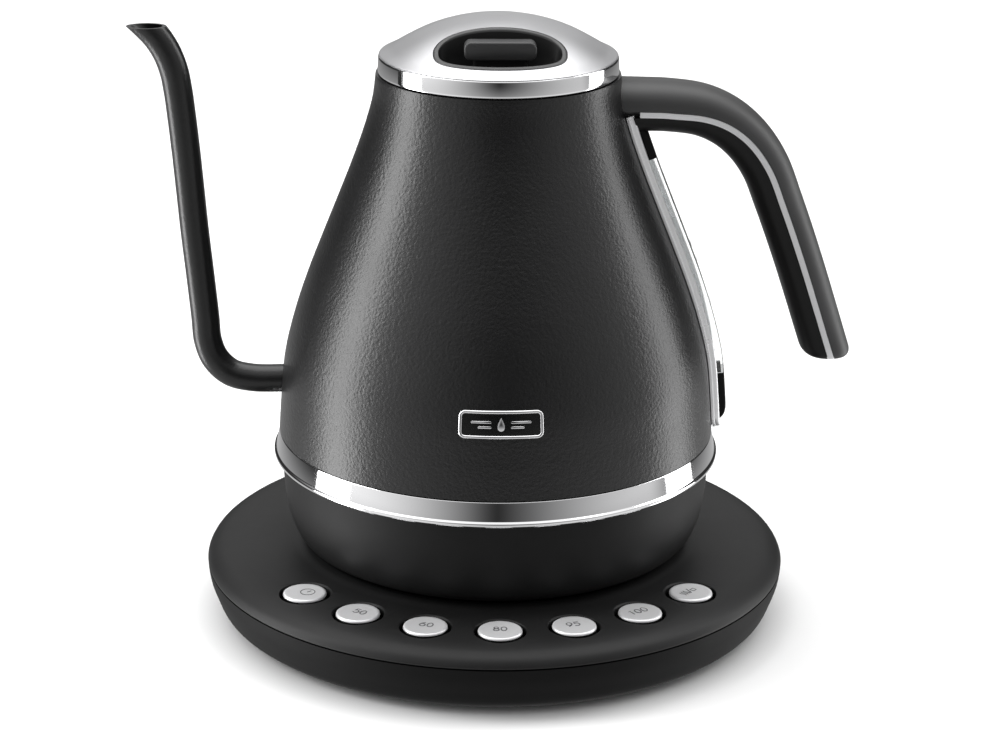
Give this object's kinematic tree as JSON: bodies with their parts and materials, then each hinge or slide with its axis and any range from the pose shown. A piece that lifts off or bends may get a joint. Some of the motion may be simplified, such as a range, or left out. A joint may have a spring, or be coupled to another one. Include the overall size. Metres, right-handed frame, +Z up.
{
  "type": "electric gooseneck kettle",
  "caption": "Cordless electric gooseneck kettle with an open loop handle, lift-off lid and water window, on a round power base with temperature keys.",
  "frame": {"origin": "on the kettle's axis at the height of the table, under the middle of the base", "axes": "+Z up; the spout points to -X and the handle to +X; the keys on the base face -Y"},
  "size_m": [0.2874, 0.2342, 0.2442],
  "materials": {
    "matte_black_plastic": "fine moulded grain, matte",
    "soft_touch_black": "soft-touch coating over plastic",
    "gloss_black_plastic": "smooth gloss",
    "key_silver": "satin with a bright bevel",
    "textured_black_paint": "pebbled semi-gloss paint over steel",
    "polished_chrome": "mirror polish",
    "brushed_steel": "fine brushing",
    "satin_silver": "satin",
    "plain_steel": "bright",
    "cast_aluminium": "as cast",
    "contact_brass": "bright",
    "black_rubber": "moulded",
    "pale_silicone": "moulded silicone",
    "circuit_board": "solder mask",
    "clear_window": "clear moulded window"
  },
  "bodies": {
    "power_base": {"base_top_cover": "matte_black_plastic", "dock_tray": "matte_black_plastic", "base_bottom_cover": "matte_black_plastic", "base_foot_1": "black_rubber", "base_foot_2": "black_rubber", "base_foot_3": "black_rubber", "base_foot_4": "black_rubber", "base_screw_1": "plain_steel", "base_screw_2": "plain_steel", "base_screw_3": "plain_steel", "base_screw_4": "plain_steel", "cord_gland": "black_rubber", "dock_connector": "matte_black_plastic", "dock_contact_ring": "contact_brass", "dock_center_pin": "contact_brass", "button_guide": "gloss_black_plastic", "control_board": "circuit_board", "buzzer": "gloss_black_plastic", "power_board": "circuit_board", "relay": "gloss_black_plastic"},
    "key_power": {"button_power": "key_silver"},
    "key_50": {"button_50": "key_silver"},
    "key_60": {"button_60": "key_silver"},
    "key_80": {"button_80": "key_silver"},
    "key_95": {"button_95": "key_silver"},
    "key_100": {"button_100": "key_silver"},
    "key_hold": {"button_hold": "key_silver"},
    "socket": {"kettle_socket": "matte_black_plastic"},
    "kettle": {"body_shell": "textured_black_paint", "neck_ring": "plain_steel", "boiler_floor": "plain_steel", "heat_plate": "cast_aluminium", "heating_element": "plain_steel", "temperature_probe": "plain_steel", "thermal_cutout": "gloss_black_plastic", "trim_ring": "polished_chrome", "lower_skirt": "matte_black_plastic", "bottom_cover": "matte_black_plastic", "bottom_screw_1": "plain_steel", "bottom_screw_2": "plain_steel", "bottom_screw_3": "plain_steel", "spout_tube": "textured_black_paint", "handle_upper_shell": "soft_touch_black", "handle_lower_shell": "matte_black_plastic", "handle_strip_front": "satin_silver", "handle_strip_back": "satin_silver", "handle_core": "cast_aluminium", "gauge_frame": "satin_silver", "gauge_window": "clear_window", "gauge_seal": "pale_silicone", "gauge_end_cap": "matte_black_plastic", "gauge_top_cap": "matte_black_plastic", "badge_rim": "polished_chrome", "badge_plate": "gloss_black_plastic"},
    "lid": {"lid_cover": "brushed_steel", "lid_band": "polished_chrome", "lid_well": "matte_black_plastic", "lid_grip": "soft_touch_black", "lid_inner_cover": "matte_black_plastic", "lid_seal": "pale_silicone"}
  },
  "joints": [
    {"name": "kettle_lift", "type": "slide", "parent": "power_base", "child": "socket", "axis": [0, 0, 1], "range_m": [0, 0.12]},
    {"name": "kettle_swivel", "type": "hinge", "parent": "socket", "child": "kettle", "pos_m": [0, 0, 0.0184], "axis": [0, 0, 1], "continuous": true},
    {"name": "lid_lift", "type": "slide", "parent": "kettle", "child": "lid", "axis": [0, 0, 1], "range_m": [0, 0.06]},
    {"name": "press_power", "type": "slide", "parent": "power_base", "child": "key_power", "axis": [0, 0, -1], "range_m": [0, 0.0012], "stiffness_N_per_m": 1500},
    {"name": "press_50", "type": "slide", "parent": "power_base", "child": "key_50", "axis": [0, 0, -1], "range_m": [0, 0.0012], "stiffness_N_per_m": 1500},
    {"name": "press_60", "type": "slide", "parent": "power_base", "child": "key_60", "axis": [0, 0, -1], "range_m": [0, 0.0012], "stiffness_N_per_m": 1500},
    {"name": "press_80", "type": "slide", "parent": "power_base", "child": "key_80", "axis": [0, 0, -1], "range_m": [0, 0.0012], "stiffness_N_per_m": 1500},
    {"name": "press_95", "type": "slide", "parent": "power_base", "child": "key_95", "axis": [0, 0, -1], "range_m": [0, 0.0012], "stiffness_N_per_m": 1500},
    {"name": "press_100", "type": "slide", "parent": "power_base", "child": "key_100", "axis": [0, 0, -1], "range_m": [0, 0.0012], "stiffness_N_per_m": 1500},
    {"name": "press_hold", "type": "slide", "parent": "power_base", "child": "key_hold", "axis": [0, 0, -1], "range_m": [0, 0.0012], "stiffness_N_per_m": 1500}
  ]
}
